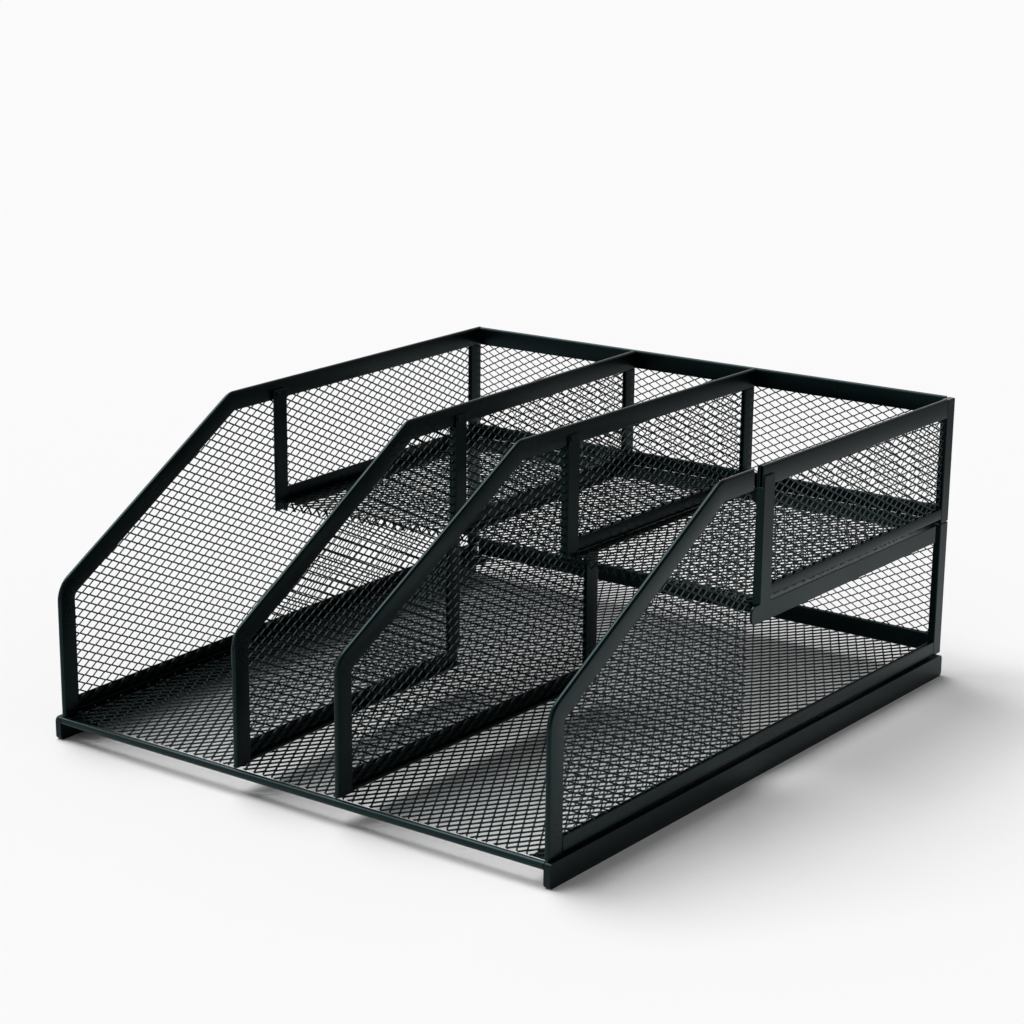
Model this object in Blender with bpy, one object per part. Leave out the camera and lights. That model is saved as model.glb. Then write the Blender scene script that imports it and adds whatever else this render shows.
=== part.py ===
"""Desktop paper tray made of expanded-metal sheets and folded steel strips.

Two side walls and two dividers fan out slightly from the front to the back wall.
Each one is a net held in folded strips. A raised box over the rear half has three
bays, and the space under it is one full-width compartment, open on the right.

Metres, +Z up. The origin is on the desk, under the middle of the tray, and the front
is -Y. Every piece hangs on an empty, "tray", that lies under the front end of the left
wall, so sizes here are counted from there. Inside a panel's own frame, x is its
thickness, y runs from the front to the back and z is up.
"""
import math

import bmesh
import bpy
from mathutils import Vector
from mathutils.geometry import delaunay_2d_cdt

# Overall sizes
FRONT_WIDTH = 0.330
REAR_WIDTH = 0.350
DEPTH = 0.399
HEIGHT = 0.172

# Side profiles of the walls and the dividers
WALL_KNEE_HEIGHT = 0.0885
WALL_KNEE_DEPTH = 0.1445
DIVIDER_KNEE_HEIGHT = 0.0865
DIVIDER_KNEE_DEPTH = 0.152
KNEE_RADIUS = 0.016

# Places of the dividers across the tray, at the front and at the back
DIVIDER_1_FRONT = 0.1293
DIVIDER_1_REAR = 0.1170
DIVIDER_2_FRONT = 0.1983
DIVIDER_2_REAR = 0.2054

# Folded strips
STRIP_WIDTH = 0.0115
STRIP_THICKNESS = 0.003
WALL_FOOT_STRIP_WIDTH = 0.009
FOOT_LIP = 0.0024
BOX_STRIP_WIDTH = 0.009
SIDE_STRIP_RAISE = 0.0023
FOLD = 0.0008
MERGE = 0.000008

# Nets
NET_THICKNESS = 0.0008
WALL_NET_LONG_WAY = 0.056
WALL_NET_SHORT_WAY = 0.028
FLOOR_NET_LONG_WAY = 0.072
FLOOR_NET_SHORT_WAY = 0.052
NET_STRAND = 0.003
LEAST_GAP_SHARE = 0.12

# Foot rails and front bar
RAIL_HEIGHT = 0.0132
RAIL_THICKNESS = 0.0038
RAIL_OUTSTAND = 0.0025
RAIL_END_RADIUS = 0.005
FLANGE_WIDTH = 0.012
FLANGE_THICKNESS = 0.001
FRONT_BAR_RADIUS = 0.0022

# Box over the rear half
SHELF_HEIGHT = 0.0963
WALL_POST_DEPTH = 0.1845
DIVIDER_POST_DEPTH = 0.196
POST_WIDTH = 0.0105
POST_THICKNESS = 0.005
POST_TOP_DROP = 0.0055
REAR_POST_TOP_DROP = 0.0006
LEFT_POST_THICKNESS = 0.0017
LEFT_POST_DROP = 0.0045
REAR_POST_WIDTH = 0.009
REAR_POST_THICKNESS = 0.0046
SHELF_FRONT_STRIP_WIDTH = 0.004
SHELF_FRONT_FOLD = 0.0003
SHELF_FRONT_DROP = 0.004
SHELF_RAIL_WIDTH = 0.012
SHELF_RAIL_THICKNESS = 0.0012
RAIL_LAG = 0.0014

# Front halves of the wall and the dividers
RIGHT_RIM_DEPTH = 0.1755
LOWER_POST_1_LEAD = 0.005
LOWER_POST_2_LAG = 0.0215

# Strip along the top of the open side
OPENING_STRIP_DEPTH = 0.179
OPENING_STRIP_REAR_GAP = 0.014
OPENING_STRIP_WIDTH = 0.0105
OPENING_STRIP_THICKNESS = 0.0015
OPENING_STRIP_RADIUS = 0.004
OPENING_STRIP_INSET = 0.0006

# Rivets at the tops of the posts
RIVET_RADIUS = 0.0014
RIVET_HEIGHT = 0.0007
RIVET_INSET = 0.0022

# Fits
CLEARANCE = 0.0003
EDGE_BEVEL = 0.0004
ARC_STEPS = 5
BAR_SIDES = 16
RIVET_SIDES = 10
SMOOTH_ANGLE = math.radians(35)

# Powder coat
PAINT_COLOUR = (0.004, 0.006, 0.006, 1)
PAINT_ROUGHNESS = 0.35

FLOOR_TOP = RAIL_HEIGHT
FLOOR_BOTTOM = FLOOR_TOP - NET_THICKNESS
FOOT_OF_STRIPS = FLOOR_TOP + CLEARANCE
WALL_STRIP_TOP = FOOT_OF_STRIPS + WALL_FOOT_STRIP_WIDTH
DIVIDER_STRIP_TOP = FOOT_OF_STRIPS + STRIP_WIDTH
RIM_BOTTOM = HEIGHT - STRIP_WIDTH
SLOT = NET_THICKNESS + 2 * CLEARANCE
NET_EDGE = FOLD + CLEARANCE
SHELF_SUPPORT = SHELF_HEIGHT - CLEARANCE
BOX_STRIP_TOP = SHELF_HEIGHT + BOX_STRIP_WIDTH
LOWER_STRIP_FOOT = SHELF_SUPPORT - BOX_STRIP_WIDTH
SIDE_STRIP_FOOT = SHELF_HEIGHT + SIDE_STRIP_RAISE
LOWER_POST_TOP = SHELF_SUPPORT - SHELF_RAIL_THICKNESS - CLEARANCE
POST_TOP = HEIGHT - POST_TOP_DROP
SPLAY = (REAR_WIDTH - FRONT_WIDTH) / 2


def clear_scene():
    for item in list(bpy.data.objects):
        bpy.data.objects.remove(item, do_unlink=True)


def painted_steel(name):
    material = bpy.data.materials.new(name)
    material.use_nodes = True
    shader = material.node_tree.nodes["Principled BSDF"]
    shader.inputs["Base Color"].default_value = PAINT_COLOUR
    shader.inputs["Roughness"].default_value = PAINT_ROUGHNESS
    return material


def finish(name, mesh_builder, parent, smooth=False):
    """Closes a bmesh into a named object with its own material, under its panel's frame."""
    bmesh.ops.remove_doubles(mesh_builder, verts=mesh_builder.verts, dist=MERGE)
    bmesh.ops.recalc_face_normals(mesh_builder, faces=mesh_builder.faces)
    mesh = bpy.data.meshes.new(name)
    mesh_builder.to_mesh(mesh)
    mesh_builder.free()
    if smooth:
        mesh.shade_smooth()
        mesh.set_sharp_from_angle(angle=SMOOTH_ANGLE)
    made = bpy.data.objects.new(name, mesh)
    bpy.context.scene.collection.objects.link(made)
    made.parent = parent or bpy.data.objects["tray"]
    mesh.materials.append(painted_steel(f"{name}_paint"))
    return made


def empty(name, location, turn=0, parent=None):
    made = bpy.data.objects.new(name, None)
    bpy.context.scene.collection.objects.link(made)
    made.location = location
    made.rotation_euler = (0, 0, turn)
    made.parent = parent
    return made


def frame(name, front_x, rear_x):
    """An empty whose y axis runs along a panel from its front end to its rear end."""
    turn = math.atan2(front_x - rear_x, DEPTH)
    return empty(name, (front_x, 0, 0), turn, bpy.data.objects["tray"])


def length_of(front_x, rear_x):
    return math.hypot(DEPTH, rear_x - front_x)


def along(front_x, rear_x, y):
    """The x of a panel's line at a depth y."""
    return front_x + (rear_x - front_x) * y / DEPTH


def rounded(points, radius):
    """The polyline with each inner corner turned into an arc."""
    result = [Vector(points[0])]
    for before, corner, after in zip(points, points[1:], points[2:]):
        here = Vector(corner)
        into = (Vector(before) - here).normalized()
        out = (Vector(after) - here).normalized()
        half = into.angle(out) / 2
        centre = here + (into + out).normalized() * radius / math.sin(half)
        start = here + into * radius / math.tan(half)
        end = here + out * radius / math.tan(half)
        sweep = (start - centre).angle(end - centre)
        side = 1 if (start - centre).cross(end - centre) > 0 else -1
        for step in range(ARC_STEPS + 1):
            turn = side * sweep * step / ARC_STEPS
            spoke = start - centre
            result.append(centre + Vector((
                spoke.x * math.cos(turn) - spoke.y * math.sin(turn),
                spoke.x * math.sin(turn) + spoke.y * math.cos(turn),
            )))
    result.append(Vector(points[-1]))
    return result


def offset(path, distance):
    """The path moved to its right-hand side by the distance, with mitred corners."""
    moved = []
    for index, point in enumerate(path):
        before = (point - path[index - 1]).normalized() if index else None
        after = (path[index + 1] - point).normalized() if index + 1 < len(path) else None
        before, after = before or after, after or before
        normal = (Vector((before.y, -before.x)) + Vector((after.y, -after.x))).normalized()
        moved.append(point + normal * distance / normal.dot(Vector((after.y, -after.x))))
    return moved


def channel(name, parent, path, width, middle, lip=None):
    """A strip folded along the path, its slot to the path's right. lip is its +x cheek's width."""
    half = STRIP_THICKNESS / 2
    lip = lip or width
    section = (
        (-half, 0), (half, 0), (half, lip), (SLOT / 2, lip),
        (SLOT / 2, FOLD), (-SLOT / 2, FOLD), (-SLOT / 2, width), (-half, width),
    )
    rows = {depth: offset(path, depth) for depth in (0, FOLD, lip, width)}
    built = bmesh.new()
    rings = [
        [built.verts.new((middle + side, rows[depth][i].x, rows[depth][i].y)) for side, depth in section]
        for i in range(len(path))
    ]
    for ring, following in zip(rings, rings[1:]):
        for i in range(len(section)):
            j = (i + 1) % len(section)
            built.faces.new((ring[i], ring[j], following[j], following[i]))
    built.faces.new(rings[0])
    built.faces.new(rings[-1])
    return finish(name, built, parent, smooth=True)


def prism(name, parent, outline, low, high, holes=(), flat=False):
    """An outline pushed through a thickness. It lies in y and z, or in x and y where flat."""
    spots = []
    rings = []
    for loop in (outline, *holes):
        rings.append(list(range(len(spots), len(spots) + len(loop))))
        spots += [Vector(point) for point in loop]
    edges = [(ring[i - 1], ring[i]) for ring in rings for i in range(len(ring))]
    spots, _, triangles, *_ = delaunay_2d_cdt(spots, edges, [rings[0]], 2, MERGE)
    built = bmesh.new()
    layers = []
    for level in (low, high):
        places = [(spot.x, spot.y, level) if flat else (level, spot.x, spot.y) for spot in spots]
        layers.append([built.verts.new(place) for place in places])
    sides = {}
    for triangle in triangles:
        for layer in layers:
            built.faces.new([layer[i] for i in triangle])
        for i in range(len(triangle)):
            pair = (triangle[i - 1], triangle[i])
            sides[frozenset(pair)] = None if frozenset(pair) in sides else pair
    for i, j in filter(None, sides.values()):
        built.faces.new((layers[0][i], layers[0][j], layers[1][j], layers[1][i]))
    return finish(name, built, parent)


def clipped(polygon, region):
    """The part of a polygon that lies inside a convex region drawn anticlockwise."""
    result = list(polygon)
    for index, end in enumerate(region):
        start = region[index - 1]
        side = end - start
        inside = [side.cross(point - start) for point in result]
        kept = []
        for i, point in enumerate(result):
            before, was = result[i - 1], inside[i - 1]
            if (was > 0) != (inside[i] > 0):
                kept.append(before + (point - before) * was / (was - inside[i]))
            if inside[i] > 0:
                kept.append(point)
        result = kept
        if not result:
            return []
    return result


def area_of(polygon):
    return sum(polygon[i - 1].cross(polygon[i]) for i in range(len(polygon))) / 2


def net_gaps(region, across, up):
    """The diamonds of a net, in rows set half a pitch apart, cut to a convex region."""
    low = Vector((min(p.x for p in region), min(p.y for p in region)))
    high = Vector((max(p.x for p in region), max(p.y for p in region)))
    slant = math.hypot(across, up)
    half_across = (across - NET_STRAND * slant / up) / 2
    half_up = (up - NET_STRAND * slant / across) / 2
    gaps = []
    row = 0
    while low.y + row * up / 2 < high.y + up:
        column = 0
        while low.x + column * across < high.x + across:
            centre = Vector((low.x + (column + (row % 2) / 2) * across, low.y + row * up / 2))
            diamond = [
                centre + Vector((half_across, 0)), centre + Vector((0, half_up)),
                centre - Vector((half_across, 0)), centre - Vector((0, half_up)),
            ]
            gap = clipped(diamond, region)
            if len(gap) > 2 and area_of(gap) > LEAST_GAP_SHARE * area_of(diamond):
                gaps.append(gap)
            column += 1
        row += 1
    return gaps


def points(*pairs):
    return [Vector(pair) for pair in pairs]


def wall_net(name, parent, outline, regions, middle):
    gaps = [gap for region in regions for gap in net_gaps(region, WALL_NET_LONG_WAY, WALL_NET_SHORT_WAY)]
    half = NET_THICKNESS / 2
    return prism(name, parent, outline, middle - half, middle + half, gaps)


def flat_net(name, outline, region, low):
    gaps = net_gaps(region, FLOOR_NET_SHORT_WAY, FLOOR_NET_LONG_WAY)
    return prism(name, None, outline, low, low + NET_THICKNESS, gaps, flat=True)


def box(name, parent, low, high, bevel=EDGE_BEVEL):
    built = bmesh.new()
    made = bmesh.ops.create_cube(built, size=1)
    for vert in made["verts"]:
        vert.co = Vector(
            (a if c < 0 else b) for a, b, c in zip(low, high, vert.co)
        )
    if bevel:
        bmesh.ops.bevel(built, geom=built.edges[:], offset=bevel, segments=1, affect="EDGES")
    return finish(name, built, parent)


def bar_between(name, parent, first, second):
    """A bar between two end rings, each a list of places in the same order."""
    built = bmesh.new()
    rings = [[built.verts.new(place) for place in ring] for ring in (first, second)]
    for i in range(len(first)):
        built.faces.new((rings[0][i - 1], rings[0][i], rings[1][i], rings[1][i - 1]))
    built.faces.new(rings[0])
    built.faces.new(rings[1])
    return finish(name, built, parent)


def profile_path(knee_depth, knee_height, rear):
    """The outer edge of a wall or divider, up its front, over the slope and along the rim."""
    corners = points((0, FOOT_OF_STRIPS), (0, knee_height), (knee_depth, HEIGHT), (rear, HEIGHT))
    return rounded(corners, KNEE_RADIUS)


def net_outline(path, rear, *step):
    """The net's edge in the fold of the strips, with any step in its rear edge."""
    foot = FOOT_OF_STRIPS + NET_EDGE
    edge = offset(path, NET_EDGE)
    edge[0].y = foot
    edge[-1].x = rear
    corners = edge + points(*step)
    return corners + points((corners[-1].x, foot))


def open_region(path, rear, foot):
    """What of a net shows between its strips, anticlockwise."""
    inner = offset(path, STRIP_WIDTH)
    inner[0].y = foot
    inner[-1].x = rear
    return points((rear, foot)) + inner[::-1]


def saddle_post(name, parent, start, middle, inner_top=POST_TOP):
    """A post whose two cheeks straddle the rim strip, standing on the shelf's support."""
    half = POST_THICKNESS / 2
    slot = STRIP_THICKNESS / 2 + CLEARANCE
    top = RIM_BOTTOM - CLEARANCE
    outline = (
        (-half, SHELF_HEIGHT), (half, SHELF_HEIGHT), (half, POST_TOP), (slot, POST_TOP),
        (slot, top), (-slot, top), (-slot, inner_top), (-half, inner_top),
    )
    ends = [[(middle + x, y, z) for x, z in outline] for y in (start, start + POST_WIDTH)]
    return bar_between(name, parent, *ends)


def rivet(name, parent, face, y, z):
    built = bmesh.new()
    bmesh.ops.create_cone(
        built, cap_ends=True, segments=RIVET_SIDES, radius1=RIVET_RADIUS,
        radius2=RIVET_RADIUS - RIVET_HEIGHT / 2, depth=RIVET_HEIGHT,
    )
    for vert in built.verts:
        vert.co = Vector((face + CLEARANCE + RIVET_HEIGHT / 2 + vert.co.z, y + vert.co.x, z + vert.co.y))
    return finish(name, built, parent, smooth=True)


def join(leg, flange):
    """Makes a flange part of the leg that it is folded from."""
    flange.hide_render = True
    flange.display_type = "WIRE"
    union = leg.modifiers.new("flange", "BOOLEAN")
    union.operation = "UNION"
    union.object = flange


def foot_rail(name, parent, inward, length):
    """An angle that stands on the desk: a tall outer leg and a flange under the floor net."""
    outer = -inward * RAIL_OUTSTAND
    inner = outer + inward * RAIL_THICKNESS
    tip = inner + inward * FLANGE_WIDTH
    flange_top = FLOOR_BOTTOM - CLEARANCE
    start = 2 * FRONT_BAR_RADIUS + 2 * CLEARANCE
    low_front = (RAIL_END_RADIUS, 0)
    corners = (low_front, (0, 0), (0, RAIL_HEIGHT), (length, RAIL_HEIGHT), (length, 0), low_front)
    outline = rounded(corners, RAIL_END_RADIUS / 2)[1:-1]
    sides = [[(x, p.x - FRONT_BAR_RADIUS, p.y) for p in outline] for x in (outer, inner)]
    leg = bar_between(name, parent, *sides)
    web = outer + inward * FLANGE_THICKNESS
    flange = box(
        f"{name}_flange", parent,
        (min(web, tip), start, flange_top - FLANGE_THICKNESS),
        (max(web, tip), length - FLANGE_THICKNESS, flange_top), bevel=0,
    )
    join(leg, flange)


def left_wall():
    length = length_of(0, -SPLAY)
    holder = frame("left_wall_frame", 0, -SPLAY)
    middle = STRIP_THICKNESS / 2
    path = profile_path(WALL_KNEE_DEPTH, WALL_KNEE_HEIGHT, length)
    post_start = length - STRIP_WIDTH
    channel("left_rim_strip", holder, path, STRIP_WIDTH, middle)
    foot = points((length, FOOT_OF_STRIPS), (STRIP_WIDTH + CLEARANCE, FOOT_OF_STRIPS))
    channel("left_bottom_strip", holder, foot, WALL_FOOT_STRIP_WIDTH, middle, FOOT_LIP)
    rear = points((length, RIM_BOTTOM - CLEARANCE), (length, WALL_STRIP_TOP + CLEARANCE))
    channel("left_rear_post", holder, rear, STRIP_WIDTH, middle)
    outline = net_outline(path, length - NET_EDGE)
    wall_net("left_wall_mesh", holder, outline, [open_region(path, post_start, WALL_STRIP_TOP)], middle)
    inside = STRIP_THICKNESS + CLEARANCE
    post_face = inside + LEFT_POST_THICKNESS
    box(
        "left_box_front_post", holder,
        (inside, WALL_POST_DEPTH - STRIP_THICKNESS, SHELF_HEIGHT - LEFT_POST_DROP),
        (post_face, WALL_POST_DEPTH - STRIP_THICKNESS + STRIP_WIDTH, POST_TOP),
    )
    start = WALL_POST_DEPTH - STRIP_THICKNESS + STRIP_WIDTH + CLEARANCE
    leg = inside + FLANGE_THICKNESS
    tip = inside + FLANGE_WIDTH
    low = SHELF_SUPPORT - FLANGE_THICKNESS
    outline = (
        (inside, low), (tip, low), (tip, SHELF_SUPPORT),
        (leg, SHELF_SUPPORT), (leg, BOX_STRIP_TOP), (inside, BOX_STRIP_TOP),
    )
    end = length - STRIP_THICKNESS - 2 * CLEARANCE
    bar_between("left_shelf_strip", holder, *([(x, y, z) for x, z in outline] for y in (start, end)))
    rivet("left_post_rivet", holder, post_face, WALL_POST_DEPTH, POST_TOP - RIVET_INSET)
    foot_rail("left_foot_rail", holder, 1, length)


def right_wall():
    length = length_of(FRONT_WIDTH, FRONT_WIDTH + SPLAY)
    holder = frame("right_wall_frame", FRONT_WIDTH, FRONT_WIDTH + SPLAY)
    middle = -STRIP_THICKNESS / 2
    path = profile_path(WALL_KNEE_DEPTH, WALL_KNEE_HEIGHT, RIGHT_RIM_DEPTH)
    rear_post_start = length - REAR_POST_WIDTH
    channel("right_rim_strip", holder, path, STRIP_WIDTH, middle)
    foot = points(
        (rear_post_start - CLEARANCE, FOOT_OF_STRIPS), (STRIP_WIDTH + CLEARANCE, FOOT_OF_STRIPS)
    )
    channel("right_bottom_strip", holder, foot, WALL_FOOT_STRIP_WIDTH, middle)
    net_rear = RIGHT_RIM_DEPTH + CLEARANCE
    outline = net_outline(path, net_rear)
    region = open_region(path, net_rear - NET_STRAND / 2, WALL_STRIP_TOP)
    wall_net("right_front_mesh", holder, outline, [region], middle)

    saddle_post("right_box_front_post", holder, WALL_POST_DEPTH, middle, HEIGHT - CLEARANCE)
    box_start = WALL_POST_DEPTH + POST_WIDTH + CLEARANCE
    net_end = rear_post_start - CLEARANCE
    top = points((WALL_POST_DEPTH + CLEARANCE, HEIGHT), (net_end, HEIGHT))
    channel("right_box_top_strip", holder, top, STRIP_WIDTH, middle)
    low = points((net_end, SIDE_STRIP_FOOT), (box_start, SIDE_STRIP_FOOT))
    channel("right_box_bottom_strip", holder, low, BOX_STRIP_TOP - SIDE_STRIP_FOOT, middle)
    box(
        "right_box_rear_post", holder,
        (-REAR_POST_THICKNESS, rear_post_start, SHELF_HEIGHT), (0, length, HEIGHT - REAR_POST_TOP_DROP),
    )
    box(
        "right_lower_rear_post", holder,
        (-REAR_POST_THICKNESS, rear_post_start, FOOT_OF_STRIPS), (0, length, SHELF_SUPPORT),
    )
    outline = points(
        (box_start, SIDE_STRIP_FOOT + NET_EDGE), (net_end, SIDE_STRIP_FOOT + NET_EDGE),
        (net_end, HEIGHT - NET_EDGE), (box_start, HEIGHT - NET_EDGE),
    )
    strand = NET_STRAND / 2
    region = points(
        (box_start + strand, BOX_STRIP_TOP), (net_end - strand, BOX_STRIP_TOP),
        (net_end - strand, RIM_BOTTOM), (box_start + strand, RIM_BOTTOM),
    )
    wall_net("right_box_mesh", holder, outline, [region], middle)

    outer = -OPENING_STRIP_INSET
    inner = outer - OPENING_STRIP_THICKNESS
    end = length - OPENING_STRIP_REAR_GAP
    strip_foot = SHELF_SUPPORT - OPENING_STRIP_WIDTH
    corners = points(
        (end, SHELF_SUPPORT), (OPENING_STRIP_DEPTH, SHELF_SUPPORT),
        (OPENING_STRIP_DEPTH, strip_foot), (end, strip_foot),
    )
    outline = rounded(corners, OPENING_STRIP_RADIUS)
    leg = prism("right_opening_strip", holder, outline, inner, outer)
    flange = box(
        "opening_strip_flange", holder,
        (inner - FLANGE_WIDTH, box_start, SHELF_SUPPORT - FLANGE_THICKNESS),
        (inner + FLANGE_THICKNESS, end, SHELF_SUPPORT), bevel=0,
    )
    join(leg, flange)
    foot_rail("right_foot_rail", holder, -1, length)


def divider(number, front_x, rear_x, lower_post):
    label = f"divider_{number}"
    holder = frame(f"{label}_frame", front_x, rear_x)
    end = length_of(front_x, rear_x) - STRIP_THICKNESS - 2 * CLEARANCE
    path = profile_path(DIVIDER_KNEE_DEPTH, DIVIDER_KNEE_HEIGHT, end)
    channel(f"{label}_rim_strip", holder, path, STRIP_WIDTH, 0)
    foot_end = lower_post + STRIP_WIDTH
    foot = points((foot_end, FOOT_OF_STRIPS), (STRIP_WIDTH + CLEARANCE, FOOT_OF_STRIPS))
    channel(f"{label}_bottom_strip", holder, foot, STRIP_WIDTH, 0, FOOT_LIP)
    post = points((foot_end, LOWER_POST_TOP), (foot_end, DIVIDER_STRIP_TOP + CLEARANCE))
    channel(f"{label}_lower_post", holder, post, STRIP_WIDTH, 0)

    upper_rear = DIVIDER_POST_DEPTH - CLEARANCE
    lower_rear = foot_end - NET_EDGE
    outline = net_outline(path, upper_rear, (upper_rear, LOWER_POST_TOP), (lower_rear, LOWER_POST_TOP))
    strand = NET_STRAND / 2
    seam = min(upper_rear - strand, lower_post)
    regions = [open_region(path, seam, DIVIDER_STRIP_TOP)]
    if lower_post - seam > STRIP_WIDTH:
        regions.append(points(
            (seam + strand, DIVIDER_STRIP_TOP), (lower_post, DIVIDER_STRIP_TOP),
            (lower_post, LOWER_POST_TOP - strand), (seam + strand, LOWER_POST_TOP - strand),
        ))
    wall_net(f"{label}_front_mesh", holder, outline, regions, 0)

    saddle_post(f"{label}_box_post", holder, DIVIDER_POST_DEPTH, 0)
    box_start = DIVIDER_POST_DEPTH + POST_WIDTH + CLEARANCE
    low = points((end, SHELF_HEIGHT), (box_start, SHELF_HEIGHT))
    channel(f"{label}_shelf_strip", holder, low, BOX_STRIP_WIDTH, 0)
    rear = points((end, RIM_BOTTOM - CLEARANCE), (end, BOX_STRIP_TOP + CLEARANCE))
    channel(f"{label}_rear_post", holder, rear, STRIP_WIDTH, 0)
    net_end = end - NET_EDGE
    outline = points(
        (box_start, SHELF_HEIGHT + NET_EDGE), (net_end, SHELF_HEIGHT + NET_EDGE),
        (net_end, HEIGHT - NET_EDGE), (box_start, HEIGHT - NET_EDGE),
    )
    region = points(
        (box_start + strand, BOX_STRIP_TOP), (end - STRIP_WIDTH, BOX_STRIP_TOP),
        (end - STRIP_WIDTH, RIM_BOTTOM), (box_start + strand, RIM_BOTTOM),
    )
    wall_net(f"{label}_box_mesh", holder, outline, [region], 0)
    half = SHELF_RAIL_WIDTH / 2
    rail_start = DIVIDER_POST_DEPTH + SHELF_FRONT_STRIP_WIDTH + RAIL_LAG
    box(
        f"{label}_shelf_rail", holder,
        (-half, rail_start, SHELF_SUPPORT - SHELF_RAIL_THICKNESS), (half, end, SHELF_SUPPORT), bevel=0,
    )
    rivet(
        f"{label}_post_rivet", holder, POST_THICKNESS / 2,
        DIVIDER_POST_DEPTH + RIVET_INSET, POST_TOP - RIVET_INSET,
    )


def back_wall():
    """Its frame's y axis runs to the right, and x goes from the outer face to the front."""
    holder = empty("back_wall_frame", (-SPLAY, DEPTH, 0), -math.pi / 2, bpy.data.objects["tray"])
    middle = STRIP_THICKNESS / 2
    left = STRIP_THICKNESS + 2 * CLEARANCE
    right = REAR_WIDTH - REAR_POST_THICKNESS - 2 * CLEARANCE
    channel("back_top_strip", holder, points((left, HEIGHT), (right, HEIGHT)), STRIP_WIDTH, middle)
    low = points((right, SHELF_HEIGHT), (left, SHELF_HEIGHT))
    channel("back_box_bottom_strip", holder, low, BOX_STRIP_WIDTH, middle)
    high = points((left, SHELF_SUPPORT), (right, SHELF_SUPPORT))
    channel("back_lower_top_strip", holder, high, BOX_STRIP_WIDTH, middle)
    foot = points((right, FOOT_OF_STRIPS), (left, FOOT_OF_STRIPS))
    channel("back_bottom_strip", holder, foot, STRIP_WIDTH, middle)
    strand = NET_STRAND / 2
    for name, foot_z, top_z, show_low, show_high in (
        ("back_upper_mesh", SHELF_HEIGHT, HEIGHT, BOX_STRIP_TOP, RIM_BOTTOM),
        ("back_lower_mesh", FOOT_OF_STRIPS, SHELF_SUPPORT, DIVIDER_STRIP_TOP, LOWER_STRIP_FOOT),
    ):
        outline = points(
            (left, foot_z + NET_EDGE), (right, foot_z + NET_EDGE),
            (right, top_z - NET_EDGE), (left, top_z - NET_EDGE),
        )
        region = points(
            (left + strand, show_low), (right - strand, show_low),
            (right - strand, show_high), (left + strand, show_high),
        )
        wall_net(name, holder, outline, [region], middle)


def floor():
    """The floor net on the rails' flanges, and the round bar along its front edge."""
    edge = RAIL_THICKNESS - RAIL_OUTSTAND + CLEARANCE
    front = FRONT_BAR_RADIUS + CLEARANCE
    lip = NET_STRAND / 2
    right_front = FRONT_WIDTH + along(0, SPLAY, front)
    outline = points(
        (along(0, -SPLAY, front) + edge, front), (right_front - edge, front),
        (FRONT_WIDTH + SPLAY - edge, DEPTH), (edge - SPLAY, DEPTH),
    )
    region = points(
        (outline[0].x + lip, front + lip), (outline[1].x - lip, front + lip),
        (outline[2].x - lip, DEPTH - STRIP_THICKNESS), (outline[3].x + lip, DEPTH - STRIP_THICKNESS),
    )
    flat_net("floor_mesh", outline, region, FLOOR_BOTTOM)
    built = bmesh.new()
    length = FRONT_WIDTH - 2 * edge
    bmesh.ops.create_cone(
        built, cap_ends=True, segments=BAR_SIDES,
        radius1=FRONT_BAR_RADIUS, radius2=FRONT_BAR_RADIUS, depth=length,
    )
    for vert in built.verts:
        vert.co = Vector((FRONT_WIDTH / 2 + vert.co.z, vert.co.x, FLOOR_TOP - FRONT_BAR_RADIUS + vert.co.y))
    finish("front_bar", built, None, smooth=True)


def shelf_bay(name, left_line, left_gap, left_front, right_line, right_gap, right_front):
    """One bay's net and the fold along its front edge, which runs from post to post."""
    rear = DEPTH - STRIP_THICKNESS - CLEARANCE
    front_left = Vector((along(*left_line, left_front) + left_gap, left_front))
    front_right = Vector((along(*right_line, right_front) - right_gap, right_front))
    inner = SHELF_FRONT_STRIP_WIDTH
    back_left = Vector((along(*left_line, rear) + left_gap, rear))
    back_right = Vector((along(*right_line, rear) - right_gap, rear))
    slope = (front_right - front_left).normalized()
    step = Vector((-slope.y, slope.x))
    lead = step * (SHELF_FRONT_FOLD + CLEARANCE)
    outline = [front_left + lead, front_right + lead, back_right, back_left]
    lip = NET_STRAND / 2
    region = [
        front_left + step * inner + Vector((lip, 0)), front_right + step * inner - Vector((lip, 0)),
        back_right - Vector((lip, lip)), back_left + Vector((lip, -lip)),
    ]
    flat_net(f"shelf_mesh_{name}", outline, region, SHELF_HEIGHT)
    middle = SHELF_HEIGHT + NET_THICKNESS / 2
    slot = SLOT / 2
    half = slot + SHELF_FRONT_FOLD
    section = (
        (0, -half - SHELF_FRONT_DROP), (FOLD, -half - SHELF_FRONT_DROP), (FOLD, -half),
        (inner, -half), (inner, -slot), (SHELF_FRONT_FOLD, -slot),
        (SHELF_FRONT_FOLD, slot), (inner, slot), (inner, half), (0, half),
    )
    ends = [
        [(*(end + step * depth), middle + rise) for depth, rise in section]
        for end in (front_left, front_right)
    ]
    bar_between(f"shelf_front_strip_{name}", None, *ends)


def shelf():
    left = (0, -SPLAY)
    first = (DIVIDER_1_FRONT, DIVIDER_1_REAR)
    second = (DIVIDER_2_FRONT, DIVIDER_2_REAR)
    right = (FRONT_WIDTH, FRONT_WIDTH + SPLAY)
    wall_gap = STRIP_THICKNESS + LEFT_POST_THICKNESS + 2 * CLEARANCE
    right_gap = POST_THICKNESS + CLEARANCE
    post_gap = POST_THICKNESS / 2 + CLEARANCE
    shelf_bay("left", left, wall_gap, WALL_POST_DEPTH, first, post_gap, DIVIDER_POST_DEPTH)
    shelf_bay("middle", first, post_gap, DIVIDER_POST_DEPTH, second, post_gap, DIVIDER_POST_DEPTH)
    shelf_bay("right", second, post_gap, DIVIDER_POST_DEPTH, right, right_gap, WALL_POST_DEPTH)


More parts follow.
